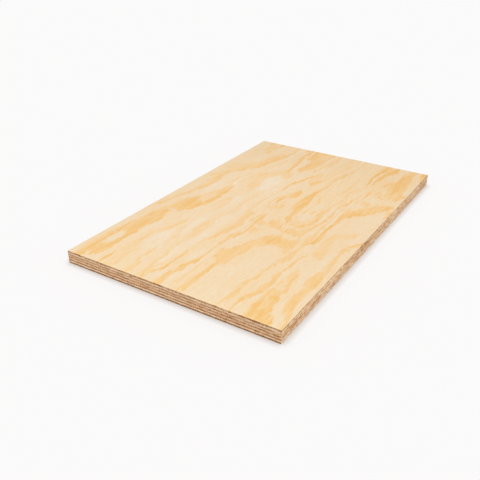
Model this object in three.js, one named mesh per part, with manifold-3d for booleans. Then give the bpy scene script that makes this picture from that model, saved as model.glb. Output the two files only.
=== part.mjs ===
// Plywood sheet: nine peeled pine veneers, each laid with its grain square to the ply below it,
// glued under a hot press, sawn to size as one panel and sanded on both faces.
// Units are millimetres. +Z is up, +Y runs along the face grain and +X across it.
// The origin is the middle of the underside.

import Module from "manifold-3d";
import * as THREE from "three";
import { mergeVertices } from "three/addons/utils/BufferGeometryUtils.js";

const wasm = await Module();
wasm.setup();

// Driving dimensions
const SHEET_LENGTH = 500; // along the face grain
const SHEET_WIDTH = 315;
const FACE_THICKNESS = 2.25; // the outer veneers are peeled thicker, to leave wood for sanding
const BACK_THICKNESS = 2.25;
const CROSSBAND_THICKNESS = 1.95; // grain along the width
const CORE_THICKNESS = 1.9; // grain along the length
const CROSSBAND_COUNT = 4; // a ply with lengthwise grain lies on both sides of each one
const ARRIS_RADIUS = 0.4; // the sanded outer edges of the face and the back
const ARRIS_SEGMENTS = 4;

// Each glue line lies at a whole number of these steps. A 32-bit number holds such a height exactly,
// so the two plies that meet there share one plane.
const GLUE_LINE_STEP = 1 / 1024;

const FINISHES = {
  face: { color: "#f3dbb2", roughness: 0.62 },
  crossband: { color: "#d3a985", roughness: 0.8 },
  core: { color: "#b98d67", roughness: 0.84 },
  back: { color: "#dfbf92", roughness: 0.68 },
};

function finish(name) {
  const { color, roughness } = FINISHES[name];
  return new THREE.MeshStandardMaterial({ color, roughness, metalness: 0 });
}

// Exact quarter turns that stand a drawn section up: its height becomes Z.
const ALONG_X = new THREE.Matrix4().makeBasis(
  new THREE.Vector3(0, 1, 0),
  new THREE.Vector3(0, 0, 1),
  new THREE.Vector3(1, 0, 0),
);
const ALONG_Y = new THREE.Matrix4().makeBasis(
  new THREE.Vector3(1, 0, 0),
  new THREE.Vector3(0, 0, 1),
  new THREE.Vector3(0, -1, 0),
);

function extruded(outline, depth) {
  return new THREE.ExtrudeGeometry(outline, {
    depth,
    bevelEnabled: false,
    curveSegments: ARRIS_SEGMENTS,
  });
}

// A closed geometry as a solid that can be cut.
function toSolid(geometry) {
  const bare = geometry.clone();
  bare.deleteAttribute("normal");
  bare.deleteAttribute("uv");
  const merged = mergeVertices(bare);
  return new wasm.Manifold(
    new wasm.Mesh({
      numProp: 3,
      vertProperties: new Float32Array(merged.attributes.position.array),
      triVerts: new Uint32Array(merged.index.array),
    }),
  );
}

function toGeometry(solid) {
  const { vertProperties, triVerts } = solid.getMesh();
  const geometry = new THREE.BufferGeometry();
  geometry.setAttribute("position", new THREE.BufferAttribute(vertProperties, 3));
  geometry.setIndex(new THREE.BufferAttribute(triVerts, 1));
  const faceted = geometry.toNonIndexed();
  faceted.computeVertexNormals();
  return faceted;
}

// An inner ply: square-edged all round, standing on z = 0.
function innerVeneer(thickness) {
  const outline = new THREE.Shape();
  outline.moveTo(-SHEET_WIDTH / 2, -SHEET_LENGTH / 2);
  outline.lineTo(SHEET_WIDTH / 2, -SHEET_LENGTH / 2);
  outline.lineTo(SHEET_WIDTH / 2, SHEET_LENGTH / 2);
  outline.lineTo(-SHEET_WIDTH / 2, SHEET_LENGTH / 2);
  outline.closePath();
  return extruded(outline, thickness);
}

// The section of an outer ply over one span: its glued side lies on height 0, and the two corners of
// its sanded side, which is above (up = 1) or below (up = -1), are rounded.
function easedSection(span, thickness, up) {
  const edge = span / 2;
  const centre = edge - ARRIS_RADIUS;
  const height = up * (thickness - ARRIS_RADIUS);
  const clockwise = up < 0;
  const section = new THREE.Shape();
  section.moveTo(-edge, 0);
  section.lineTo(edge, 0);
  section.absarc(centre, height, ARRIS_RADIUS, 0, (up * Math.PI) / 2, clockwise);
  section.absarc(-centre, height, ARRIS_RADIUS, (up * Math.PI) / 2, Math.PI * up, clockwise);
  section.closePath();
  return section;
}

// A section run out to both sides of the middle, past the far edges of the sheet.
function run(section, turn, length) {
  return toSolid(extruded(section, length).translate(0, 0, -length / 2).applyMatrix4(turn));
}

// An outer ply: what the section across the sheet and the section along it have in common, so that
// the arris runs round all four edges and mitres at the corners.
function outerVeneer(thickness, up) {
  const across = run(easedSection(SHEET_WIDTH, thickness, up), ALONG_Y, 2 * SHEET_LENGTH);
  const along = run(easedSection(SHEET_LENGTH, thickness, up), ALONG_X, 2 * SHEET_WIDTH);
  return toGeometry(across.intersect(along));
}

// The lay-up from the underside to the face.
function layUp() {
  const plies = [{ name: "back_veneer", finish: "back", thickness: BACK_THICKNESS, up: -1 }];
  for (let i = 1; i <= CROSSBAND_COUNT; i++) {
    plies.push({ name: `crossband_${i}`, finish: "crossband", thickness: CROSSBAND_THICKNESS });
    if (i < CROSSBAND_COUNT) {
      plies.push({ name: `core_veneer_${i}`, finish: "core", thickness: CORE_THICKNESS });
    }
  }
  plies.push({ name: "face_veneer", finish: "face", thickness: FACE_THICKNESS, up: 1 });
  return plies;
}

const glueLine = (height) => Math.round(height / GLUE_LINE_STEP) * GLUE_LINE_STEP;

const sheet = new THREE.Group();
sheet.name = "plywood_sheet";

let laid = 0;
for (const ply of layUp()) {
  const bottom = glueLine(laid);
  laid += ply.thickness;
  const top = glueLine(laid);
  const geometry = ply.up ? outerVeneer(top - bottom, ply.up) : innerVeneer(top - bottom);
  const mesh = new THREE.Mesh(geometry, finish(ply.finish));
  mesh.name = ply.name;
  mesh.position.z = ply.up < 0 ? top : bottom;
  sheet.add(mesh);
}

export default sheet;
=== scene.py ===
import math

import bmesh
import bpy
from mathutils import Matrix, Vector


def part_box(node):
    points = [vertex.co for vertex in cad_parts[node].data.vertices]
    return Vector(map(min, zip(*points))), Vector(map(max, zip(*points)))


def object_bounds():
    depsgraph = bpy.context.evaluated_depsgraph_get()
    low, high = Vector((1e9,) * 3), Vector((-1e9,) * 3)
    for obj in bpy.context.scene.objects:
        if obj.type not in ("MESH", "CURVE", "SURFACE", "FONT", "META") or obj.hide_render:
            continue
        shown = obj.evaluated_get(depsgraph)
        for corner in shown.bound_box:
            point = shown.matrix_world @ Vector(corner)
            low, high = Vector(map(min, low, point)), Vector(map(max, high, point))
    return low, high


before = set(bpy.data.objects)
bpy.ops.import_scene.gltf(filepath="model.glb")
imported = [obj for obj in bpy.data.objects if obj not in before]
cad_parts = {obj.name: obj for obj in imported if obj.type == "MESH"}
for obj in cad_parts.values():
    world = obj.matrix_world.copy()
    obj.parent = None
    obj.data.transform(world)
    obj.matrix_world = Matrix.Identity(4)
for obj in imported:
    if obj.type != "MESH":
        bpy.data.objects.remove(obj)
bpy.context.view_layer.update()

# ------------------------------------------------------------------------------------------------
# Camera: a portrait-length lens a little under a metre from the sheet, looking down on it from past
# the front corner and aimed a few degrees to the right of the sheet's centre and below it.
CAMERA_AZIMUTH = math.radians(29.25)
CAMERA_ELEVATION = math.radians(26.13)
CAMERA_DISTANCE = 0.8943
CAMERA_YAW = math.radians(-2.80)
CAMERA_PITCH = math.radians(-2.585)
LENS_MM = 45.18
SENSOR_MM = 36

low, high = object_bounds()
sheet_centre = (low + high) / 2
away = Vector((
    math.sin(CAMERA_AZIMUTH) * math.cos(CAMERA_ELEVATION),
    -math.cos(CAMERA_AZIMUTH) * math.cos(CAMERA_ELEVATION),
    math.sin(CAMERA_ELEVATION),
))
side = (-away).cross(Vector((0, 0, 1))).normalized()
above = side.cross(-away)
aim = (
    -away * math.cos(CAMERA_YAW) * math.cos(CAMERA_PITCH)
    + side * math.sin(CAMERA_YAW) * math.cos(CAMERA_PITCH)
    + above * math.sin(CAMERA_PITCH)
)
lens = bpy.data.cameras.new("camera")
lens.lens = LENS_MM
lens.sensor_width = SENSOR_MM
camera = bpy.data.objects.new("camera", lens)
camera.location = sheet_centre + away * CAMERA_DISTANCE
camera.rotation_mode = "QUATERNION"
camera.rotation_quaternion = aim.to_track_quat("-Z", "Y")
bpy.context.collection.objects.link(camera)
scene = bpy.context.scene
scene.camera = camera
scene.view_settings.view_transform = "Standard"

# ------------------------------------------------------------------------------------------------
# Studio: a white floor under an even white sky, with one broad soft lamp over the near corner. The
# floor shows the lamp's shadow softly, and a contact shadow is painted into its colour where the sheet's
# edges stand close over it.
FLOOR_SIDE = 24
FLOOR_WHITE = (0.965, 0.955, 0.955, 1)
WHITE = (1, 1, 1, 1)

# Where it is seen, the floor shows this share of its own white, with the painted contact shadow in it, and
# the rest as it is lit.
SHOWN_WHITE_SHARE = 0.75

# The painted contact shadow: the floor's colour right under an edge, how far the painted shadow reaches
# out, and how open the floor is there: at the foot of a wall it faces half of the sky.
PAINTED_CONTACT_SHADOW = (0.70, 0.64, 0.60, 1)
PAINTED_SHADOW_REACH = 0.010
CONTACT_SAMPLES = 16
OPENNESS_AT_WALL = 0.5

SKY_STRENGTH = 0.76
KEY_STRENGTH = 1.0
KEY_ANGLE = math.radians(60)
KEY_TILT = math.radians(38)
KEY_TURN = math.radians(45)

# A Mix node's sockets for two colours and for the mixed one, which share their names with others.
MIX_FIRST, MIX_SECOND, MIXED = 6, 7, 2


def add_node(tree, kind, inputs, **settings):
    """A node with its settings, each named input filled with a value or linked to a socket."""
    node = tree.nodes.new(kind)
    for setting, value in settings.items():
        setattr(node, setting, value)
    for name, value in inputs.items():
        if isinstance(value, bpy.types.NodeSocket):
            tree.links.new(value, node.inputs[name])
        else:
            node.inputs[name].default_value = value
    return node


def calc(tree, operation, *values):
    """One step of arithmetic on values and sockets."""
    return add_node(tree, "ShaderNodeMath", dict(enumerate(values)), operation=operation).outputs[0]


def seen(tree):
    """1 where the camera sees a surface, straight or mirrored, and 0 where it only lights others."""
    path = add_node(tree, "ShaderNodeLightPath", {})
    return calc(tree, "MAXIMUM", path.outputs["Is Camera Ray"], path.outputs["Is Glossy Ray"])


floor_mesh = bpy.data.meshes.new("floor")
shape = bmesh.new()
bmesh.ops.create_grid(shape, x_segments=1, y_segments=1, size=FLOOR_SIDE / 2)
shape.to_mesh(floor_mesh)
shape.free()
floor = bpy.data.objects.new("floor", floor_mesh)
bpy.context.collection.objects.link(floor)

floor_paint = bpy.data.materials.new("floor_paint")
floor_paint.use_nodes = True
tree = floor_paint.node_tree
paint = tree.nodes["Principled BSDF"]
paint.inputs["Roughness"].default_value = 1
paint.inputs["Specular IOR Level"].default_value = 0
# Painted contact shadow: ambient occlusion darkens the floor's colour where the sheet stands close over it.
near = add_node(tree, "ShaderNodeAmbientOcclusion", {"Distance": PAINTED_SHADOW_REACH}, samples=CONTACT_SAMPLES)
limits = {"Value": near.outputs["AO"], "From Min": OPENNESS_AT_WALL, "From Max": 1}
openness = add_node(tree, "ShaderNodeMapRange", limits).outputs["Result"]
tones = {"Factor": openness, MIX_FIRST: PAINTED_CONTACT_SHADOW, MIX_SECOND: FLOOR_WHITE}
tone = add_node(tree, "ShaderNodeMix", tones, data_type="RGBA").outputs[MIXED]
tree.links.new(tone, paint.inputs["Base Color"])
shown = add_node(tree, "ShaderNodeEmission", {"Color": tone})
share = calc(tree, "MULTIPLY", seen(tree), SHOWN_WHITE_SHARE)
blend = add_node(tree, "ShaderNodeMixShader", {"Fac": share, 1: paint.outputs[0], 2: shown.outputs[0]})
tree.links.new(blend.outputs[0], tree.nodes["Material Output"].inputs["Surface"])
floor_mesh.materials.append(floor_paint)

world = bpy.data.worlds.new("sky")
world.use_nodes = True
tree = world.node_tree
sky = tree.nodes["Background"]
sky.inputs["Color"].default_value = WHITE
sky.inputs["Strength"].default_value = SKY_STRENGTH
shown = add_node(tree, "ShaderNodeBackground", {"Color": FLOOR_WHITE})
blend = add_node(tree, "ShaderNodeMixShader", {"Fac": seen(tree), 1: sky.outputs[0], 2: shown.outputs[0]})
tree.links.new(blend.outputs[0], tree.nodes["World Output"].inputs["Surface"])
scene.world = world

key = bpy.data.lights.new("key", "SUN")
key.energy = KEY_STRENGTH
key.angle = KEY_ANGLE
key_lamp = bpy.data.objects.new("key", key)
key_lamp.rotation_euler = (KEY_TILT, 0, KEY_TURN)
bpy.context.collection.objects.link(key_lamp)

# ------------------------------------------------------------------------------------------------
# Inner leaves: core veneers that run along the sheet and crossbands that run across it, peeled from
# pine and glued with dark resin. They show only where the saw cut them: at the short edges the cores'
# end grain is dark and the crossbands' side grain pale, and the long edges are a more even tan.
MM = 0.001
SHEET_WIDTH, SHEET_LENGTH, SHEET_THICKNESS = (high - low) / MM
END_GRAIN_TONES = (
    (0.0, (228, 198, 166)),
    (0.35, (202, 160, 121)),
    (0.65, (174, 126, 84)),
    (1.0, (118, 68, 34)),
)
SIDE_GRAIN_TONES = (
    (0.0, (246, 225, 202)),
    (0.4, (227, 195, 164)),
    (0.7, (204, 165, 128)),
    (1.0, (156, 108, 70)),
)
TAN_TONES = (
    (0.0, (243, 217, 183)),
    (0.4, (219, 182, 142)),
    (0.7, (200, 153, 106)),
    (1.0, (154, 98, 50)),
)

# The two kinds of edge. The foot has the half breadth in millimetres and the shade of its line, a painted
# contact shadow where the edge meets the floor. Each leaf from the back veneer up has its shade, and the
# half breadth and the shade of the line at its top: the glue, or the arris at the face. The far end's
# shades, at shares of the height, come in along the edge; on the long edge they lighten the foot, painted
# light against the contact shadow, and darken the top under the arris. Then come the depths of blotches,
# of saw marks with their cell, and of short streaks, as a share of the long ones' depth.
SHORT_EDGE = {
    # Painted contact shadow: a dark line along the foot of the short edges.
    "foot": (0.9, (0.36, 0.29, 0.18)),
    "leaves": (
        # The back veneer: its dark end grain, darkened further by painted shade near the floor.
        ((0.60, 0.51, 0.33), 0.09, (0.56, 0.46, 0.34)),
        ((1.04, 1.07, 1.07), 0.05, (0.70, 0.58, 0.46)),
        ((0.78, 0.64, 0.46), 0.45, (0.60, 0.43, 0.25)),
        ((0.95, 0.92, 0.86), 0.05, (0.70, 0.60, 0.48)),
        ((0.87, 0.78, 0.63), 0.25, (0.60, 0.46, 0.30)),
        ((0.88, 0.82, 0.74), 0.05, (0.66, 0.56, 0.44)),
        ((0.90, 0.82, 0.71), 0.18, (0.62, 0.50, 0.38)),
        ((0.94, 0.95, 0.94), 0.09, (0.56, 0.46, 0.36)),
        ((0.91, 0.87, 0.81), 0.9, (0.80, 0.76, 0.70)),
    ),
    "far end": ((0.0, (1.0, 1.0, 1.0)),),
    "blotches": 0.05,
    "marks": ((1.3, 1.3, 6), 0.13),
    "short streaks": 1.25,
}
LONG_EDGE = {
    # Painted contact shadow: a slightly darker foot along the long edges.
    "foot": (0.8, (0.86, 0.87, 0.90)),
    "leaves": (
        ((0.95, 0.98, 1.02), 0.3, (0.86, 0.88, 0.90)),
        ((0.94, 0.95, 0.98), 0.2, (0.86, 0.82, 0.78)),
        ((0.94, 0.93, 0.92), 0.2, (0.88, 0.85, 0.80)),
        ((0.94, 0.91, 0.88), 0.8, (0.84, 0.75, 0.64)),
        ((0.96, 0.94, 0.90), 0.2, (0.90, 0.86, 0.80)),
        ((0.95, 0.90, 0.83), 0.7, (0.80, 0.66, 0.50)),
        ((0.95, 0.92, 0.87), 0.2, (0.90, 0.86, 0.80)),
        ((1.06, 1.11, 1.16), 0.2, (0.97, 0.96, 0.95)),
        ((0.89, 0.885, 0.86), 0.9, (0.80, 0.74, 0.68)),
    ),
    # At the far end: painted light on the foot against the contact shadow, and a darker top under the
    # arris.
    "far end": (
        (0.06, (1.14, 1.28, 1.44)),
        (0.13, (0.99, 1.02, 1.07)),
        (0.21, (0.91, 0.89, 0.88)),
        (0.32, (0.96, 0.99, 1.03)),
        (0.86, (0.98, 1.01, 1.06)),
        (0.94, (0.66, 0.58, 0.55)),
        (1.0, (0.66, 0.58, 0.55)),
    ),
    "blotches": 0.05,
    "marks": ((3.6, 5, 2.1), 0.25),
    "short streaks": 1.0,
}

# The streaks of each kind of sawn wood: the cell of their noise, in millimetres across, along and
# through the sheet, and their depth of colour.
END_GRAIN_STREAKS = ((18, 18, 1.0), 0.22)
SIDE_GRAIN_STREAKS = ((24, 24, 0.8), 0.2)
TAN_STREAKS = ((9, 150, 1.2), 0.2)

# What all sawn edges share: their mean depth of colour, how many times shorter the short streaks are,
# the cell of the blotches, and the spots, which darken between two levels of their noise.
SAWN_DEPTH = 0.42
TIMES_SHORTER = 3
BLOTCH_CELL = (15, 15, 5)
SPOT_CELL = (3.2, 3.2, 1.6)
SPOT_START = 0.9
SPOT_FULL = 1.8
SPOT_DEPTH = 0.35
SAWN_ROUGHNESS = 0.75
SAWN_GLOSS = 0.16

# The relief of sawn wood: its strength, and its height in millimetres.
SAWN_RELIEF = (0.4, 0.15)

# Noise stays within about an eighth of its middle, so this brings it to about -1 to 1.
NOISE_GAIN = 8.0

# A leaf's material slots after the first one, which is its broad faces'.
SHORT_SLOT, LONG_SLOT = 1, 2


def linear(red, green, blue):
    """A colour given as it looks on a screen, 0 to 255 a channel, in the shader's linear values."""
    return tuple(((part / 255 + 0.055) / 1.055) ** 2.4 for part in (red, green, blue)) + (1.0,)


def ramp(tree, value, stops, interpolation="LINEAR"):
    """A colour that follows the value through stops of position and colour, and its alpha."""
    node = add_node(tree, "ShaderNodeValToRGB", {0: value})
    node.color_ramp.interpolation = interpolation
    places = node.color_ramp.elements
    places.remove(places[1])
    places[0].position, places[0].color = stops[0]
    for position, colour in stops[1:]:
        places.new(position).color = colour
    return node.outputs["Color"], node.outputs["Alpha"]


def toned(tree, depth, tones):
    """The wood's colour at a depth of colour, from tones as they look on a screen."""
    return ramp(tree, depth, tuple((level, linear(*tone)) for level, tone in tones))[0]


def shaded(tree, level, shades):
    """A shade that follows the level through pairs of position and shade."""
    return ramp(tree, level, tuple((position, shade + (1,)) for position, shade in shades))[0]


def times(tree, first, second):
    """One colour multiplied by another."""
    return add_node(tree, "ShaderNodeVectorMath", {0: first, 1: second}, operation="MULTIPLY").outputs[0]


def eased(tree, value, start, end, low_level=0.0, high_level=1.0):
    """A smooth step from one level to the other while the value goes from start to end."""
    limits = {"From Min": start, "From Max": end, "To Min": low_level, "To Max": high_level}
    step = add_node(tree, "ShaderNodeMapRange", {"Value": value, **limits}, interpolation_type="SMOOTHSTEP")
    return step.outputs[0]


def placed(tree, place, centre, turn, size):
    """The place as seen from a spot's own centre, turned with it and counted in its own half sizes."""
    inputs = {"Vector": place, "Location": centre, "Rotation": (0, 0, math.radians(turn)), "Scale": size}
    return add_node(tree, "ShaderNodeMapping", inputs, vector_type="TEXTURE").outputs[0]


def uneven(tree, place, cell, seed, detail=2.0):
    """Noise of about -1 to 1 in cells of the given size in x, y and z."""
    inputs = {"Vector": placed(tree, place, (0, 0, 0), 0, cell), "W": seed, "Scale": 1.0, "Detail": detail}
    noise = add_node(tree, "ShaderNodeTexNoise", inputs, noise_dimensions="4D")
    return calc(tree, "MULTIPLY_ADD", noise.outputs[0], NOISE_GAIN, -NOISE_GAIN / 2)


def mottled(tree, place, value, layers):
    """The value with layers of noise added: each has its cell, its seed, its detail and its amount."""
    for cell, seed, detail, amount in layers:
        value = calc(tree, "MULTIPLY_ADD", uneven(tree, place, cell, seed, detail), amount, value)
    return value


def raise_relief(tree, shader, height, strength, millimetres):
    """Gives a surface the relief of a height, which stands so many millimetres proud at 1."""
    inputs = {"Height": height, "Strength": strength, "Distance": millimetres * MM}
    tree.links.new(add_node(tree, "ShaderNodeBump", inputs).outputs[0], shader.inputs["Normal"])


def wood(name):
    """A new material: its tree, its shader, and places in millimetres from the front left bottom corner."""
    material = bpy.data.materials.new(name)
    material.use_nodes = True
    tree = material.node_tree
    own_place = add_node(tree, "ShaderNodeTexCoord", {}).outputs["Object"]
    place = placed(tree, own_place, low, 0, (MM, MM, MM))
    return material, tree, tree.nodes["Principled BSDF"], place


leaf_tops = sorted(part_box(name)[1].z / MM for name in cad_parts)


def leaf_shade(tree, up, edge):
    """The shade of the leaf at a share of the height, with the lines between leaves, the line at the face's
    arris, and the painted contact shadow at the foot.
    """
    half_below, painted_foot_shadow = edge["foot"]
    stops, bottom = [(0.0, painted_foot_shadow)], 0.0
    for top, (shade, half, line) in zip(leaf_tops, edge["leaves"]):
        stops.append(((bottom + half_below) / SHEET_THICKNESS, shade))
        stops.append(((top - half) / SHEET_THICKNESS, shade))
        stops.append((top / SHEET_THICKNESS, line))
        bottom, half_below = top, half
    return shaded(tree, up, stops)


def edge_wood(name, edge, tones, streaks, figure_group=None, latewood=0):
    """Sawn edge of leaves, with streaks, blotches, saw marks and spots, and a ring figure's latewood."""
    material, tree, shader, place = wood(name)
    split = add_node(tree, "ShaderNodeSeparateXYZ", {0: place})
    streak_cell, streak = streaks
    across, along, through = streak_cell
    short_cell = (across / TIMES_SHORTER, along / TIMES_SHORTER, through)
    mark_cell, mark = edge["marks"]
    depth = mottled(tree, place, SAWN_DEPTH, (
        (streak_cell, 11, 2.0, streak),
        (short_cell, 14, 2.0, streak * edge["short streaks"]),
        (BLOTCH_CELL, 12, 2.0, edge["blotches"]),
        (mark_cell, 13, 2.0, mark),
    ))
    spots = eased(tree, uneven(tree, place, SPOT_CELL, seed=15), SPOT_START, SPOT_FULL, 0, SPOT_DEPTH)
    height = depth = calc(tree, "ADD", depth, spots)
    if figure_group:
        figure = add_node(tree, "ShaderNodeGroup", {0: place}, node_tree=figure_group).outputs[0]
        depth = calc(tree, "MULTIPLY_ADD", figure, latewood, depth)
    colour = toned(tree, depth, tones)
    far = calc(tree, "DIVIDE", split.outputs[1], SHEET_LENGTH)
    up = calc(tree, "DIVIDE", split.outputs[2], SHEET_THICKNESS)
    drifts = {"Factor": far, MIX_FIRST: WHITE, MIX_SECOND: shaded(tree, up, edge["far end"])}
    drift = add_node(tree, "ShaderNodeMix", drifts, data_type="RGBA").outputs[MIXED]
    shade = times(tree, leaf_shade(tree, up, edge), drift)
    tree.links.new(times(tree, colour, shade), shader.inputs["Base Color"])
    shader.inputs["Roughness"].default_value = SAWN_ROUGHNESS
    shader.inputs["Specular IOR Level"].default_value = SAWN_GLOSS
    raise_relief(tree, shader, height, *SAWN_RELIEF)
    return material


def dress(node, broad, short, long):
    """Gives a leaf its broad faces' material, and its short and its long edges' ones by their direction."""
    mesh = node.data
    mesh.materials.clear()
    for material in (broad, short, long):
        mesh.materials.append(material)
    for polygon in mesh.polygons:
        sideways, lengthways, up = (abs(part) for part in polygon.normal)
        if max(sideways, lengthways) > up:
            polygon.material_index = SHORT_SLOT if lengthways > sideways else LONG_SLOT


end_short = edge_wood("pine_end_grain", SHORT_EDGE, END_GRAIN_TONES, END_GRAIN_STREAKS)
side_short = edge_wood("pine_side_grain_of_crossband", SHORT_EDGE, SIDE_GRAIN_TONES, SIDE_GRAIN_STREAKS)
side_long = edge_wood("pine_side_grain", LONG_EDGE, TAN_TONES, TAN_STREAKS)
end_long = edge_wood("pine_end_grain_of_crossband", LONG_EDGE, TAN_TONES, TAN_STREAKS)
for name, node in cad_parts.items():
    if name.startswith("crossband"):
        dress(node, side_short, side_short, end_long)
    elif name.startswith("core_veneer"):
        dress(node, side_long, end_short, side_long)

# ------------------------------------------------------------------------------------------------
# Back veneer: a plainer leaf of the same pine, which runs along the sheet and is sanded as the face is.
# Its rings show as narrower bands of latewood, with no pools.
SANDED_TONES = (
    (0.0, (244, 227, 204)),
    (0.3, (243, 218, 181)),
    (0.6, (245, 210, 159)),
    (0.8, (245, 204, 143)),
    (1.0, (243, 194, 120)),
)
SANDED_GLOSS = 0.24

# The fibres of sanded wood: the cell of their noise, how much they change the roughness, and the
# strength and the height in millimetres of their relief.
FIBRE_CELL = (0.5, 22, 3)
FIBRE_ROUGHNESS = 0.03
FIBRE_RELIEF = (0.3, 0.03)

# How far a ring's edge strays, in millimetres: in long waves and in a short fray across the fibres,
# and in ragged tongues along them.
WAVE_CELL, WAVE_SHIFT = (10, 42, 9), 1.2
FRAY_CELL, FRAY_SHIFT = (4, 16, 9), 1.1
TONGUE_CELL, TONGUE_SHIFT = (2.5, 14, 9), 3.5

# The back's rings: the depth of colour from a ring's first earlywood to the end of its latewood, the
# cell of the noise that they follow, how many there are to it, and how far they stand out in the relief.
BACK_RING = ((0.0, 0.0), (0.35, 0.1), (0.94, 0.75), (1.0, 0.0))
BACK_RING_CELL = (62, 330, 40)
BACK_RINGS = 2.6
BACK_RING_RELIEF = 0.5

# The rest of the back's depth of colour, with streaks, and its light and roughness under the fibres'.
BACK_DEPTH = 0.3
BACK_DEPTH_NOISE = (
    ((18, 80, 20), 22, 2.0, 0.08),
    ((1.6, 35, 20), 23, 4.0, 0.06),
)
BACK_LIGHT = 0.95
BACK_FIBRE_LIGHT = 0.015
BACK_ROUGHNESS = 0.65


def new_group(name, input_kind, output_kind):
    """A node group with one input and one output, and the socket that the input comes in by."""
    group = bpy.data.node_groups.new(name, "ShaderNodeTree")
    group.interface.new_socket("In", in_out="INPUT", socket_type=input_kind)
    group.interface.new_socket("Out", in_out="OUTPUT", socket_type=output_kind)
    return group, add_node(group, "NodeGroupInput", {}).outputs[0]


profile_groups = {}


def profile(tree, value, heights):
    """A level that follows the value through pairs of position and height, eased between them."""
    if heights not in profile_groups:
        group, inside = new_group("profile", "NodeSocketFloat", "NodeSocketFloat")
        stops = tuple((position, (1.0, 1.0, 1.0, height)) for position, height in heights)
        add_node(group, "NodeGroupOutput", {0: ramp(group, inside, stops, "EASE")[1]})
        profile_groups[heights] = group
    return add_node(tree, "ShaderNodeGroup", {0: value}, node_tree=profile_groups[heights]).outputs[0]


def ragged(tree, place):
    """The place shifted a little along and across, so that a ring's edge runs ragged along the fibres."""
    wave = calc(tree, "MULTIPLY", uneven(tree, place, WAVE_CELL, seed=3), WAVE_SHIFT)
    fray = uneven(tree, place, FRAY_CELL, seed=1, detail=1.0)
    sideways = calc(tree, "MULTIPLY_ADD", fray, FRAY_SHIFT, wave)
    tongues = uneven(tree, place, TONGUE_CELL, seed=2, detail=1.0)
    lengthways = calc(tree, "MULTIPLY", tongues, TONGUE_SHIFT)
    shift = add_node(tree, "ShaderNodeCombineXYZ", {"X": sideways, "Y": lengthways})
    return add_node(tree, "ShaderNodeVectorMath", {0: place, 1: shift.outputs[0]}).outputs[0]


def sand(tree, shader, colour, light, fibre, roughness, height):
    """Joins a sanded leaf's colour under its light, its roughness and its relief to its shader."""
    lit = add_node(tree, "ShaderNodeVectorMath", {0: colour, "Scale": light}, operation="SCALE").outputs[0]
    tree.links.new(lit, shader.inputs["Base Color"])
    rough = calc(tree, "MULTIPLY_ADD", fibre, FIBRE_ROUGHNESS, roughness)
    tree.links.new(rough, shader.inputs["Roughness"])
    shader.inputs["Specular IOR Level"].default_value = SANDED_GLOSS
    raise_relief(tree, shader, height, *FIBRE_RELIEF)


back_wood, tree, shader, place = wood("sanded_pine_back")
rings = uneven(tree, ragged(tree, place), BACK_RING_CELL, seed=21, detail=1.0)
rings = calc(tree, "MULTIPLY", rings, BACK_RINGS)
ring = profile(tree, calc(tree, "FRACT", rings), BACK_RING)
depth = mottled(tree, place, ring, BACK_DEPTH_NOISE)
colour = toned(tree, calc(tree, "ADD", depth, BACK_DEPTH), SANDED_TONES)
fibre = uneven(tree, place, FIBRE_CELL, seed=24)
light = calc(tree, "MULTIPLY_ADD", fibre, BACK_FIBRE_LIGHT, BACK_LIGHT)
height = calc(tree, "MULTIPLY_ADD", ring, BACK_RING_RELIEF, fibre)
sand(tree, shader, colour, light, fibre, BACK_ROUGHNESS, height)
dress(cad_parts["back_veneer"], back_wood, end_short, side_long)

# ------------------------------------------------------------------------------------------------
# Face veneer: one knot-free leaf of pine, peeled round the log, glued down and sanded. The knife runs
# nearly along the growth rings, so a ring shows as a wide, wandering band that deepens from pale
# earlywood to orange latewood and ends at a ragged edge.

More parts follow.
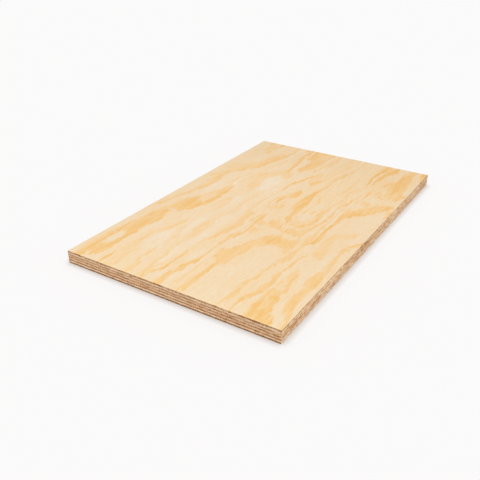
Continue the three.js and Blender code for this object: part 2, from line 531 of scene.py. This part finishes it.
# Each band: its depth of colour, how softly it fades in, and stations of its sharp edge in millimetres:
# along the sheet from its front edge, across it from its left edge, and the band's breadth there, with
# a minus where it lies on the right of its edge.
FACE_BANDS = (
    # Left side, from the front edge to the far one.
    (0.80, 0.32, (
        (0, 22, 8), (8, 27, 16), (13, 36, 25), (22, 41, 30), (32, 43, 29), (50, 40, 24), (62, 39, 22),
        (90, 42, 26), (104, 40, 26), (114, 41, 29), (121, 44, 32), (138, 45, 34), (147, 42, 32),
        (156, 38, 20), (165, 38, 9), (170, 38, 0))),
    (0.84, 0.60, (
        (0, 20, 8), (20, 19, 12), (60, 18, 12), (88, 18, 11), (100, 17, 7), (118, 16, 0))),
    (0.78, 0.25, (
        (166, 49, 0), (172, 53, 14), (178, 57, 32), (185, 61, 40), (192, 65, 44), (200, 67, 45),
        (212, 71, 45), (225, 74, 40), (240, 74, 31), (250, 73, 25), (262, 72, 17), (276, 72, 13),
        (284, 70, 9), (291, 65, 6), (297, 62, 0))),
    (0.42, 0.70, (
        (283, 69, 0), (291, 65, 8), (300, 61, 11), (315, 60, 10), (330, 61, 9), (345, 66, 7),
        (360, 73, 5), (378, 79, 4), (405, 84, 4), (430, 88, 4), (470, 88, 3), (500, 86, 3))),
    (0.58, 0.70, (
        (138, 0, 0), (150, 2, 6), (165, 6, 8), (180, 12, 10), (196, 14, 8), (212, 19, 10), (225, 22, 12),
        (240, 27, 13), (255, 31, 14), (275, 35, 17), (290, 35, 20), (302, 34, 22), (315, 31, 21),
        (328, 33, 24), (340, 36, 26), (349, 43, 30), (360, 49, 33), (368, 57, 38), (380, 61, 34),
        (392, 63, 28), (402, 66, 28), (412, 72, 30), (426, 75, 30), (440, 79, 28), (455, 81, 14),
        (470, 82, 8), (484, 80, 7), (500, 79, 7))),
    (0.36, 0.50, (
        (274, 97, 0), (284, 101, 10), (292, 103, 16), (302, 101, 22), (318, 100, 28), (332, 99, 32),
        (338, 97, 30), (348, 96, 26), (356, 102, 30), (366, 104, 32), (370, 108, 34), (376, 124, 36),
        (384, 127, 32), (390, 118, 16), (400, 112, 0))),
    (0.42, 0.50, (
        (0, 12, 4), (20, 12, 5), (60, 12, 5), (85, 13, 4), (100, 14, 0))),
    (0.62, 0.35, (
        (285, 35, 0), (298, 34, 4), (310, 31, 4), (325, 32, 5), (345, 34, 5), (354, 40, 0))),
    (0.45, 0.50, (
        (300, 66, 0), (312, 70, 5), (330, 71, 6), (345, 74, 6), (360, 79, 5), (372, 82, 0))),
    (0.42, 0.50, (
        (370, 70, 0), (385, 75, 5), (400, 79, 6), (415, 83, 5), (430, 86, 4), (445, 88, 0))),
    # Near half, from the left across.
    (0.46, 0.75, (
        (0, 74, 25), (40, 74, 25), (50, 71, 22), (64, 67, 16), (82, 64, 12), (100, 63, 12),
        (106, 69, 14), (118, 75, 17), (135, 76, 13), (144, 79, 12), (158, 78, 0))),
    (0.40, 0.50, (
        (192, 90, 0), (206, 97, 13), (228, 97, 12), (244, 95, 9), (252, 93, 0))),
    (0.52, 0.60, (
        (0, 101, 11), (12, 101, 12), (26, 99, 10), (34, 93, 6), (62, 92, 6), (73, 92, 0))),
    (0.34, 0.60, (
        (70, 96, 0), (88, 97, 6), (102, 96, 7), (118, 92, 8), (135, 88, 7), (155, 88, 6), (168, 85, 0))),
    (0.55, 0.60, (
        (0, 115, 5), (20, 116, 5), (45, 114, 5), (62, 113, 5), (76, 111, 0))),
    (0.58, 0.50, (
        (0, 121, 3), (12, 120, 4), (26, 121, 5), (38, 123, 4), (48, 125, 0))),
    (0.33, 0.70, (
        (50, 113, 0), (75, 111, 7), (100, 113, 8), (125, 116, 12), (140, 118, 15), (156, 118, 14),
        (166, 116, 11), (180, 111, 7), (200, 112, 8), (206, 118, 10), (218, 120, 8), (240, 117, 6),
        (262, 118, 10), (285, 120, 13), (300, 121, 8), (314, 125, 0))),
    (0.68, 0.50, (
        (0, 124, 4), (14, 125, 5), (24, 129, 6), (30, 133, 8), (48, 134, 7), (64, 135, 7), (84, 133, 5),
        (96, 134, 0))),
    (0.54, 0.50, (
        (90, 131, 0), (102, 132, 4), (112, 133, 5), (120, 135, 6), (127, 139, 9), (140, 143, 12),
        (152, 147, 13), (166, 150, 16), (178, 152, 18), (190, 151, 17), (194, 147, 14), (210, 147, 14),
        (224, 144, 13), (229, 138, 9), (240, 136, 7), (256, 136, 6), (285, 138, 4), (320, 141, 3),
        (350, 146, 0))),
    (0.76, 0.40, (
        (302, 138, 0), (314, 142, 5), (328, 144, 5), (344, 143, 5), (352, 147, 8), (362, 152, 10),
        (374, 154, 8), (386, 157, 5), (410, 160, 0))),
    (0.80, 0.30, (
        (0, 152, 11), (9, 151, 10), (14, 148, 7), (28, 148, 7), (38, 153, 11), (52, 154, 11),
        (62, 157, 10), (76, 158, 7), (86, 158, 5), (100, 158, 5), (114, 157, 5), (130, 158, 6),
        (142, 161, 9), (149, 165, 13), (158, 167, 10), (169, 168, 8), (182, 167, 6), (196, 166, 5),
        (208, 167, 8), (217, 165, 7), (232, 162, 0))),
    (0.36, 0.60, (
        (10, 165, 0), (22, 167, 6), (36, 166, 4), (62, 166, 4), (78, 163, 0))),
    (0.72, 0.35, (
        (0, 178, 6), (10, 183, 11), (25, 184, 12), (45, 182, 9), (62, 182, 8), (76, 183, 7),
        (90, 186, 0))),
    (0.62, 0.06, (
        (60, 179, 0), (68, 178, -6), (77, 177, -9), (86, 173, -19), (91, 167, -26), (98, 165, -28),
        (106, 164, -29), (115, 166, -30), (122, 172, -26), (129, 178, -20), (137, 181, -18),
        (142, 185, -16), (149, 189, -17), (156, 189, -22), (163, 190, -24), (170, 196, -20),
        (178, 202, -14), (185, 208, 0))),
    (0.58, 0.40, (
        (0, 233, 7), (14, 233, 7), (18, 236, 9), (30, 238, 10), (50, 238, 8), (66, 238, 7), (76, 242, 9),
        (95, 242, 6), (108, 245, 5), (120, 249, 6), (138, 253, 5), (155, 253, 5), (175, 252, 5),
        (195, 252, 4), (225, 252, 4), (260, 251, 3), (300, 250, 3), (315, 251, 3), (330, 256, 3),
        (345, 260, 3), (385, 262, 3), (400, 262, 0))),
    (0.50, 0.50, (
        (104, 240, 0), (120, 243, 4), (135, 246, 5), (150, 249, 5), (168, 250, 4), (190, 251, 3),
        (204, 252, 0))),
    (0.70, 0.25, (
        (0, 250, 4), (25, 250, 5), (34, 254, 8), (44, 259, 10), (54, 262, 11), (70, 263, 10),
        (90, 262, 7), (105, 262, 5), (130, 263, 4), (150, 266, 4), (168, 268, 0))),
    (0.84, 0.12, (
        (170, 250, 0), (178, 254, 5), (188, 260, 7), (196, 264, 9), (208, 264, 8), (222, 262, 7),
        (240, 262, 7), (262, 263, 7), (275, 262, 7), (281, 268, 13), (290, 275, 18), (300, 283, 16),
        (308, 290, 9), (316, 295, 6), (326, 301, 4), (333, 305, 0))),
    (0.60, 0.12, (
        (284, 270, 0), (290, 275, 18), (300, 283, 27), (308, 291, 27), (316, 297, 29), (326, 303, 29),
        (333, 308, 30), (339, 311, 29), (344, 312, 24), (349, 311, 12), (353, 310, 0))),
    (0.60, 0.40, (
        (0, 268, 5), (20, 268, 5), (40, 269, 5), (60, 271, 4), (90, 273, 5), (115, 274, 4),
        (130, 273, 0))),
    (0.82, 0.12, (
        (0, 300, 36), (10, 298, 34), (20, 294, 31), (26, 289, 25), (36, 287, 20), (46, 286, 16),
        (58, 281, 0))),
    (0.54, 0.10, (
        (30, 284, 0), (44, 286, 14), (52, 284, 14), (70, 284, 15), (85, 282, 14), (100, 280, 12),
        (110, 277, 9), (122, 272, 0))),
    (0.66, 0.10, (
        (0, 318, 6), (14, 316, 6), (26, 312, 10), (38, 309, 13), (50, 307, 14), (64, 307, 13),
        (76, 307, 12), (86, 308, 14), (94, 308, 15), (106, 308, 16), (118, 308, 12), (140, 307, 8),
        (158, 306, 8), (180, 304, 6), (190, 305, 6), (199, 307, 8), (206, 311, 10), (215, 315, 9),
        (226, 316, 0))),
    (0.38, 0.40, (
        (150, 286, 0), (157, 288, 24), (168, 288, 24), (178, 286, 22), (188, 281, 17), (212, 281, 17),
        (218, 290, 26), (226, 298, 32), (236, 302, 22), (250, 304, 0))),
    # Middle: the swirl, its hook and the lines beside them.
    (0.76, 0.10, (
        (212, 206, 0), (219, 204, 5), (226, 201, 6), (240, 198, 6), (252, 199, 8), (262, 200, 11),
        (268, 200, 17), (285, 199, 18), (302, 198, 16), (314, 197, 13), (322, 194, 9), (340, 194, 6),
        (360, 196, 4), (375, 197, 0))),
    (0.54, 0.50, (
        (352, 193, 0), (370, 197, 6), (400, 198, 7), (418, 203, 8), (435, 207, 8), (455, 209, 6),
        (500, 210, 4))),
    (0.62, 0.40, (
        (252, 207, 0), (265, 208, 3), (280, 209, 3), (300, 211, 4), (310, 209, 5), (320, 206, 4),
        (334, 203, 0))),
    (0.72, 0.40, (
        (190, 235, 0), (200, 237, 4), (216, 240, 4), (235, 243, 4), (255, 244, 3), (285, 243, 3),
        (308, 244, 3), (322, 248, 5), (336, 251, 5), (350, 254, 4), (370, 256, 0))),
    (0.68, 0.30, (
        (216, 222, 0), (224, 229, 5), (234, 233, 7), (250, 235, 8), (275, 234, 5), (300, 233, 0))),
    (0.62, 0.50, (
        (255, 228, 0), (270, 229, 4), (285, 231, 4), (300, 233, 3), (325, 236, 3), (345, 238, 3),
        (365, 238, 3), (385, 243, 3), (408, 248, 0))),
    (0.48, 0.50, (
        (300, 241, 0), (330, 242, 3), (360, 243, 3), (385, 248, 3), (400, 252, 0))),
    (0.48, 0.50, (
        (325, 222, 0), (345, 225, 3), (370, 228, 3), (395, 229, 3), (418, 228, 4), (432, 222, 0))),
    (0.42, 0.60, (
        (247, 152, 0), (252, 166, 18), (258, 172, 22), (264, 174, 20), (271, 173, 12), (278, 168, 6),
        (284, 165, 0))),
    (0.62, 0.40, (
        (248, 153, 0), (257, 151, 5), (270, 149, 4), (284, 151, 4), (294, 155, 6), (303, 159, 6),
        (312, 162, 5), (320, 164, 0))),
    (0.86, 0.40, (
        (266, 157, 0), (275, 158, 5), (288, 159, 5), (296, 161, 6), (301, 173, 13), (308, 175, 17),
        (318, 174, 15), (327, 171, 11), (332, 168, 7), (336, 166, 0))),
    (0.50, 0.50, (
        (262, 181, 0), (268, 183, 3), (278, 183, 3), (288, 182, 0))),
    (0.50, 0.50, (
        (300, 183, 0), (310, 185, 3), (322, 186, 4), (332, 184, 0))),
    # Far end, from the left across.
    (0.70, 0.35, (
        (380, 119, 0), (386, 117, 9), (398, 114, 8), (412, 114, 10), (428, 112, 10), (442, 111, 9),
        (452, 108, 7), (460, 105, 5), (475, 107, 6), (500, 108, 6))),
    (0.60, 0.20, (
        (395, 131, 0), (400, 133, 8), (409, 136, 13), (418, 141, 20), (430, 145, 24), (443, 148, 25),
        (454, 146, 25), (459, 146, 32), (470, 146, 34), (485, 148, 38), (500, 148, 38))),
    (0.40, 0.50, (
        (400, 148, 0), (418, 152, 4), (450, 154, 3), (500, 158, 4))),
    (0.55, 0.50, (
        (418, 150, 0), (430, 155, 4), (445, 159, 5), (460, 162, 6), (475, 164, 6), (490, 164, 5),
        (500, 163, 4))),
    (0.38, 0.50, (
        (384, 165, 0), (400, 167, 4), (425, 166, 4), (440, 164, 0))),
    (0.40, 0.40, (
        (378, 157, 0), (388, 163, 8), (400, 164, 8), (412, 162, 4), (424, 158, 0))),
    (0.70, 0.35, (
        (355, 169, 0), (359, 174, 10), (364, 177, 15), (370, 179, 17), (376, 180, 13), (382, 181, 6),
        (392, 182, 3), (412, 184, 0))),
    (0.42, 0.50, (
        (364, 162, 0), (376, 162, 4), (390, 160, 4), (404, 160, 0))),
    (0.40, 0.50, (
        (393, 176, 0), (425, 179, 4), (445, 178, 3), (470, 182, 4), (500, 185, 5))),
    (0.36, 0.50, (
        (396, 183, 0), (430, 187, 4), (450, 190, 4), (465, 194, 4), (480, 197, 4), (500, 199, 4))),
    (0.70, 0.30, (
        (398, 127, 0), (402, 124, -8), (410, 123, -14), (430, 124, -16), (445, 125, -14), (455, 125, 0))),
    (0.80, 0.30, (
        (451, 117, 0), (457, 113, -13), (470, 112, -17), (485, 112, -16), (500, 113, -14))),
    (0.82, 0.30, (
        (396, 247, 0), (410, 247, 3), (428, 247, 5), (445, 247, 7), (466, 250, 9), (478, 253, 11),
        (500, 255, 12))),
    (0.96, 0.15, (
        (403, 253, 0), (425, 256, 6), (440, 258, 9), (455, 260, 10), (464, 262, 10), (472, 267, 14),
        (480, 271, 18), (488, 271, 17), (500, 270, 8))),
    (0.60, 0.12, (
        (368, 303, 0), (373, 306, 11), (380, 308, 26), (388, 312, 32), (396, 310, 30), (404, 305, 27),
        (420, 304, 27), (435, 302, 25), (450, 302, 21), (465, 300, 18), (480, 298, 16), (500, 299, 15))),
    (0.46, 0.60, (
        (362, 280, 0), (368, 282, 14), (380, 281, 18), (390, 276, 13), (399, 270, 0))),
    (0.46, 0.60, (
        (402, 268, 0), (410, 271, 5), (422, 276, 10), (432, 278, 9), (446, 276, 0))),
    (0.70, 0.35, (
        (452, 317, 0), (466, 318, 9), (485, 318, 11), (500, 318, 15))),
)

# Thin pale lines that follow a band's sharp edge, where the next ring's first wood shows: the same
# figures, taken off the depth.
FACE_PALE_LINES = (
    (0.32, 0.50, (
        (284, 72, 0), (292, 67, 4), (302, 63, 5), (320, 62, 5), (335, 67, 5), (350, 72, 5), (365, 78, 5),
        (382, 83, 0))),
    (0.34, 0.50, (
        (356, 61, 0), (376, 66, 4), (395, 69, 4), (410, 74, 4), (425, 80, 5), (440, 84, 5), (460, 87, 5),
        (472, 86, 5), (490, 84, 4), (500, 83, 4))),
    (0.22, 0.50, (
        (190, 258, 0), (215, 256, 3), (250, 255, 3), (285, 254, 3), (312, 255, 3), (330, 259, 0))),
    (0.22, 0.50, (
        (232, 248, 0), (260, 248, 3), (290, 247, 3), (312, 248, 3), (330, 253, 3), (350, 257, 0))),
    (0.10, 0.50, (
        (240, 239, 0), (262, 240, 3), (290, 239, 3), (315, 240, 3), (345, 246, 3), (365, 250, 0))),
    (0.22, 0.50, (
        (418, 143, 0), (432, 149, 4), (450, 152, 4), (475, 152, 4), (500, 152, 4))),
    (0.20, 0.50, (
        (388, 156, 0), (400, 158, 4), (420, 162, 4), (440, 168, 4), (465, 172, 4), (490, 172, 3),
        (500, 171, 3))),
    (0.20, 0.50, (
        (335, 181, 0), (350, 184, 4), (370, 186, 4), (400, 189, 4), (430, 194, 4), (455, 199, 4),
        (500, 203, 4))),
    (0.20, 0.50, (
        (404, 249, 0), (425, 250, 3), (445, 250, 3), (470, 254, 4), (490, 258, 4), (500, 259, 4))),
    (0.18, 0.50, (
        (20, 129, 0), (45, 128, 4), (80, 127, 5), (105, 126, 4), (120, 126, 0))),
    (0.18, 0.50, (
        (40, 148, 0), (60, 150, 5), (90, 151, 6), (120, 151, 5), (140, 153, 0))),
)

# Turns of one tight swirl, as rings round a point: along, across, half length, half width, depth of
# colour. Only their ends that point to the front edge show.
FACE_TURNS = (
    (262, 215, 31, 13, 0.5),
    (262, 215, 43, 19, 0.55),
    (262, 212, 66, 29, 0.5),
)

# Places where the knife dipped under a ring, and where it rode over one: along, across, half length,
# half width, tilt in degrees and depth of colour.
FACE_POOLS = (
    (18, 53, 26, 3.5, 2, 0.75),
    (66, 66, 10, 2.5, 0, 0.45),
    (170, 26, 16, 7, 18, 0.5),
    (230, 84, 26, 6, 8, 0.32),
    (246, 91, 7, 4, 0, 0.5),
    (132, 87, 16, 4, -5, 0.45),
    (488, 80, 14, 4, 0, 0.6),
    (211, 182, 9, 3, 0, 0.6),
    (316, 125, 18, 4, 0, 0.42),
    (304, 258, 9, 4, -30, 0.42),
    (369, 286, 5, 9, 0, 0.5),
    (40, 24, 7, 3, 0, 0.8),
    (167, 211, 18, 14, 0, 0.82),
    (166, 226, 18, 11, 0, 0.5),
    (151, 236, 14, 6, 0, 0.45),
    (170, 238, 18, 6, 0, 0.62),
    (147, 203, 9, 4, 0, 0.6),
    (190, 247, 22, 3.5, 3, 0.5),
    (201, 170, 8, 9, 0, 0.5),
    (207, 187, 11, 7, 0, 0.6),
    (205, 196, 9, 7, -25, 0.55),
    (198, 205, 6, 8, 0, 0.42),
    (203, 216, 8, 9, 0, 0.45),
    (203, 155, 10, 5, 0, 0.42),
    (157, 0, 12, 5, 0, 0.9),
    (345, 0, 10, 4, 0, 0.7),
    (199, 228, 9, 8, 0, 0.52),
    (209, 236, 13, 3.5, 10, 0.62),
    (222, 214, 5, 13, 0, 0.3),
    (220, 161, 14, 5, 0, 0.5),
    (270, 216, 9, 4, 0, 0.5),
    (337, 270, 12, 9, -20, 0.5),
    (357, 82, 15, 10, 15, 0.5),
    (358, 42, 14, 9, 15, 0.5),
    (368, 171, 9, 7, 0, 0.5),
    (372, 56, 8, 5, 30, 0.6),
    (361, 24, 24, 16, 20, 0.3),
    (312, 12, 14, 7, 0, 0.35),
    (178, 172, 11, 7, 0, 0.5),
    (148, 107, 24, 7, 0, 0.42),
    (318, 313, 17, 4, 0, 0.65),
    (480, 35, 12, 9, -20, 0.5),
    (380, 58, 12, 5, 10, 0.6),
    (370, 120, 16, 9, 0, 0.4),
    (412, 126, 14, 4, 0, 0.7),
    (480, 118, 20, 6, 0, 0.9),
    (488, 148, 16, 3, 0, 0.7),
    (415, 149, 7, 3, 0, 0.65),
    (395, 168, 18, 9, 0, 0.3),
    (494, 129, 7, 3, 0, 0.85),
    (493, 24, 10, 8, 0, 0.75),
    (493, 43, 9, 4, 0, 0.85),
    (450, 39, 13, 4, 0, 0.5),
    (468, 30, 16, 9, 0, 0.42),
    (455, 286, 34, 5, 3, 0.72),
    (493, 98, 9, 4, 0, 0.7),
    (493, 311, 9, 7, 0, 0.85),
    (388, 309, 12, 5, 15, 0.6),
)
FACE_ISLANDS = (
    (62, 25.5, 23, 7.8, 0, 1),
    (12, 25, 7, 3, 0, 0.8),
    (232, 57, 20, 9, 0, 0.75),
    (143, 109, 6, 2, 0, 0.9),
    (75, 274.5, 15, 4.2, 0, 0.95),
    (482, 136, 20, 7, 0, 0.5),
    (34, 276, 14, 5, 0, 0.4),
    (320, 266, 13, 6, 0, 0.75),
    (342, 281, 12, 3.5, 0, 0.6),
    (120, 170, 8, 3, 0, 0.6),
)

# Broad places that are paler or deeper than the rest: the same figures, and the change of depth.
FACE_SHADES = (
    (330, 113, 50, 19, -6, -0.22),
    (22, 136, 26, 6, 0, -0.12),
    (76, 144, 24, 5, 0, -0.1),
    (134, 275, 28, 10, 0, -0.1),
    (245, 100, 28, 10, 0, -0.15),
    (150, 91, 46, 11, 0, -0.12),
    (85, 77, 36, 14, 0, -0.13),
    (61, 25.5, 24, 8, 0, -0.14),
    (160, 121, 60, 9, 0, -0.12),
    (55, 119, 32, 6, 0, -0.1),
    (275, 214, 48, 13, 0, -0.1),
    (300, 46, 44, 9, 10, -0.08),
    (200, 108, 190, 40, 5, -0.05),
    (450, 285, 60, 28, 0, 0.08),
    (470, 168, 45, 20, 0, 0.08),
    (462, 108, 40, 13, 0, 0.1),
    (25, 68, 34, 10, 0, -0.1),
    (285, 58, 36, 14, 0, -0.1),
    (420, 42, 34, 9, 0, -0.1),
    (112, 78, 24, 7, 0, -0.1),
    (390, 275, 60, 30, 0, 0.06),
    (268, 42, 36, 12, 0, -0.14),
    (390, 220, 160, 60, 0, 0.07),
    (230, 178, 70, 30, 0, 0.05),
    (60, 212, 60, 22, 2, -0.03),
    (128, 215, 24, 16, 0, 0.05),
    (430, 45, 90, 40, 0, 0.05),
)

# How a band is drawn: its sharp edge as a share of its breadth, the share of its depth that is left
# where its fade begins, and how far past its end stations its curves run level, in millimetres.
EDGE_SHARE = 0.04
BODY_SHARE = 0.85
RUN_OUT = 4

# The columns of a band's stations after the first, which is the place along the sheet.
ACROSS, BREADTH = 1, 2

# How a turn is drawn: its line, at distances from its middle as shares of its whole size, and where the
# line comes in and is full, as shares of the turn's half length.
TURN_SCALE = 0.5
TURN_LINE = ((0.42, 0.0), (0.5, 1.0), (0.52, 1.0), (0.56, 0.0))
TURN_START = 0.3
TURN_FULL = 0.7

# The soft rims of pools, islands and shades, as shares of their half sizes, and the half height that
# takes them right through the leaf, in millimetres.
POOL_RIM = 0.4
ISLAND_RIM = 0.15
SHADE_RIM = 0.5
DEEP = 1000

# The face's depth of colour: the figure's share of it and the clouds in that, broad and narrow streaks,
# and faint rings of the wood below the surface.
FIGURE_SHARE = 0.72
FIGURE_CLOUDS = (((7, 40, 20), 5, 2.0, 0.12),)
FACE_DEPTH_NOISE = (
    ((18, 80, 20), 6, 2.0, 0.06),
    ((1.6, 35, 20), 7, 4.0, 0.05),
)
FAINT_RING_CELL = (26, 150, 30)
FAINT_RINGS = 1.6
FAINT_RING_POWER = 2.0
FAINT_RING_DEPTH = 0.16
FACE_DEPTH = 0.32

# The face's light, which is painted into its colour: the fibres' and the streaks' changes, the duller left
# side, a painted highlight in a thin line along the front arris with painted shade in its very corner, and
# the face growing darker along the sheet towards its far end.
FACE_FIBRE_LIGHT = 0.012
FACE_LIGHT_NOISE = (
    ((1.5, 32, 3), 4, 2.0, 0.009),
    ((1.9, 9, 3), 10, 2.0, 0.022),
)
LEFT_SHADE = 0.975
LEFT_SHADE_BREADTH = 70
ARRIS_BREADTH = 5
ARRIS_HIGHLIGHT_LINE = ((0.0, 0.0), (0.3, 0.0), (0.48, 1.0), (0.9, 0.0))
PAINTED_ARRIS_HIGHLIGHT = 0.05
ARRIS_CORNER = 0.25
PAINTED_ARRIS_SHADE = -0.08
FACE_DRIFT = (
    (0.0, (1.02, 1.03, 1.03)),
    (0.2, (1.0, 1.0, 1.0)),
    (0.4, (0.985, 0.98, 0.98)),
    (0.67, (0.975, 0.972, 0.97)),
    (0.8, (0.956, 0.95, 0.945)),
    (0.92, (0.929, 0.918, 0.91)),
    (1.0, (0.928, 0.915, 0.905)),
)
FACE_ROUGHNESS = 0.6

# The face's own edges, where its ring figure shows too: their streaks, and how far the latewood
# deepens the colour.
FACE_END_STREAKS = ((12, 12, 1.4), 0.2)
FACE_END_LATEWOOD = 0.4
FACE_SIDE_LATEWOOD = 0.25


def station_curve(tree, share_along, stations, column):
    """A smooth curve along the sheet through one column of a band's stations, in widths of the sheet."""
    node = add_node(tree, "ShaderNodeFloatCurve", {"Value": share_along})
    node.mapping.use_clip = False
    node.mapping.extend = "HORIZONTAL"
    points = node.mapping.curves[0].points
    first, last = stations[0], stations[-1]
    points[0].location = ((first[0] - RUN_OUT) / SHEET_LENGTH, first[column] / SHEET_WIDTH)
    points[-1].location = ((last[0] + RUN_OUT) / SHEET_LENGTH, last[column] / SHEET_WIDTH)
    for station in stations:
        points.new(station[0] / SHEET_LENGTH, station[column] / SHEET_WIDTH)
    for point in points:
        point.handle_type = "AUTO_CLAMPED"
    node.mapping.update()
    return node.outputs[0]


def band_depth(tree, share_along, share_across, strength, softness, stations):
    """Depth of one band: nothing past its sharp edge, full just inside it, then fading over its breadth."""
    edge = station_curve(tree, share_along, stations, ACROSS)
    breadth = station_curve(tree, share_along, stations, BREADTH)
    inside = calc(tree, "DIVIDE", calc(tree, "SUBTRACT", edge, share_across), breadth)
    heights = ((0.0, 0.0), (EDGE_SHARE, strength), (1 - softness, BODY_SHARE * strength), (1.0, 0.0))
    return profile(tree, inside, heights)


def turn_depth(tree, place, place_along, along, across, half_length, half_width, strength):
    """Depth of one turn of the swirl: an oval line, of which the end that points to the front shows."""
    spot = placed(tree, place, (across, along, 0), 0, (half_width, half_length, DEEP))
    reach = add_node(tree, "ShaderNodeVectorMath", {0: spot}, operation="LENGTH").outputs[1]
    heights = tuple((level, height * strength) for level, height in TURN_LINE)
    line = profile(tree, calc(tree, "MULTIPLY", reach, TURN_SCALE), heights)
    start, full = along - half_length * TURN_START, along - half_length * TURN_FULL
    return calc(tree, "MULTIPLY", line, eased(tree, place_along, start, full))


def oval(tree, place, along, across, half_length, half_width, tilt):
    """How far inside an oval on the face a place lies: 1 at its middle, 0 at its rim and outside."""
    spot = placed(tree, place, (across, along, 0), -tilt, (half_width, half_length, DEEP))
    return add_node(tree, "ShaderNodeTexGradient", {0: spot}, gradient_type="SPHERICAL").outputs[1]


def ring_figure():
    """Node group: the face's depth of ring colour at a place in millimetres from the front left corner."""
    tree, inside = new_group("ring_figure", "NodeSocketVector", "NodeSocketFloat")
    place = ragged(tree, inside)
    split = add_node(tree, "ShaderNodeSeparateXYZ", {0: place})
    share_across = calc(tree, "DIVIDE", split.outputs[0], SHEET_WIDTH)
    share_along = calc(tree, "DIVIDE", split.outputs[1], SHEET_LENGTH)
    depth = 0.0
    for band in FACE_BANDS:
        depth = calc(tree, "MAXIMUM", depth, band_depth(tree, share_along, share_across, *band))
    for turn in FACE_TURNS:
        depth = calc(tree, "MAXIMUM", depth, turn_depth(tree, place, split.outputs[1], *turn))
    for *spot, strength in FACE_POOLS:
        pool = eased(tree, oval(tree, place, *spot), 0, POOL_RIM, 0, strength)
        depth = calc(tree, "MAXIMUM", depth, pool)
    for *spot, strength in FACE_ISLANDS:
        island = eased(tree, oval(tree, place, *spot), 0, ISLAND_RIM, 1, 1 - strength)
        depth = calc(tree, "MULTIPLY", depth, island)
    for line in FACE_PALE_LINES:
        depth = calc(tree, "SUBTRACT", depth, band_depth(tree, share_along, share_across, *line))
    add_node(tree, "NodeGroupOutput", {0: depth})
    return tree


figure_group = ring_figure()
face_wood, tree, shader, place = wood("sanded_pine_face")
figure = add_node(tree, "ShaderNodeGroup", {0: place}, node_tree=figure_group).outputs[0]
depth = calc(tree, "MULTIPLY", figure, mottled(tree, place, FIGURE_SHARE, FIGURE_CLOUDS))
depth = mottled(tree, place, depth, FACE_DEPTH_NOISE)
rings = uneven(tree, place, FAINT_RING_CELL, seed=9, detail=5.0)
rings = calc(tree, "MULTIPLY", rings, FAINT_RINGS)
faint = calc(tree, "POWER", calc(tree, "FRACT", rings), FAINT_RING_POWER)
depth = calc(tree, "MULTIPLY_ADD", faint, FAINT_RING_DEPTH, depth)
for *spot, change in FACE_SHADES:
    depth = calc(tree, "ADD", depth, eased(tree, oval(tree, place, *spot), 0, SHADE_RIM, 0, change))
colour = toned(tree, calc(tree, "ADD", depth, FACE_DEPTH), SANDED_TONES)
fibre = uneven(tree, place, FIBRE_CELL, seed=8)
light = calc(tree, "MULTIPLY_ADD", fibre, FACE_FIBRE_LIGHT, 1.0)
light = mottled(tree, place, light, FACE_LIGHT_NOISE)
split = add_node(tree, "ShaderNodeSeparateXYZ", {0: place})
left = eased(tree, split.outputs[0], 0, LEFT_SHADE_BREADTH, LEFT_SHADE, 1.0)
light = calc(tree, "MULTIPLY", light, left)
# Painted highlight in a thin line along the front arris, and painted shade in its very corner.
from_arris = calc(tree, "DIVIDE", split.outputs[1], ARRIS_BREADTH)
light = calc(tree, "MULTIPLY_ADD", profile(tree, from_arris, ARRIS_HIGHLIGHT_LINE), PAINTED_ARRIS_HIGHLIGHT, light)
light = calc(tree, "ADD", light, eased(tree, from_arris, ARRIS_CORNER, 0, 0, PAINTED_ARRIS_SHADE))
far = calc(tree, "DIVIDE", split.outputs[1], SHEET_LENGTH)
colour = times(tree, colour, shaded(tree, far, FACE_DRIFT))
sand(tree, shader, colour, light, fibre, FACE_ROUGHNESS, fibre)

face_short = edge_wood(
    "face_veneer_end_grain", SHORT_EDGE, END_GRAIN_TONES, FACE_END_STREAKS, figure_group, FACE_END_LATEWOOD
)
face_long = edge_wood(
    "face_veneer_side_grain", LONG_EDGE, TAN_TONES, TAN_STREAKS, figure_group, FACE_SIDE_LATEWOOD
)
dress(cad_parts["face_veneer"], face_wood, face_short, face_long)
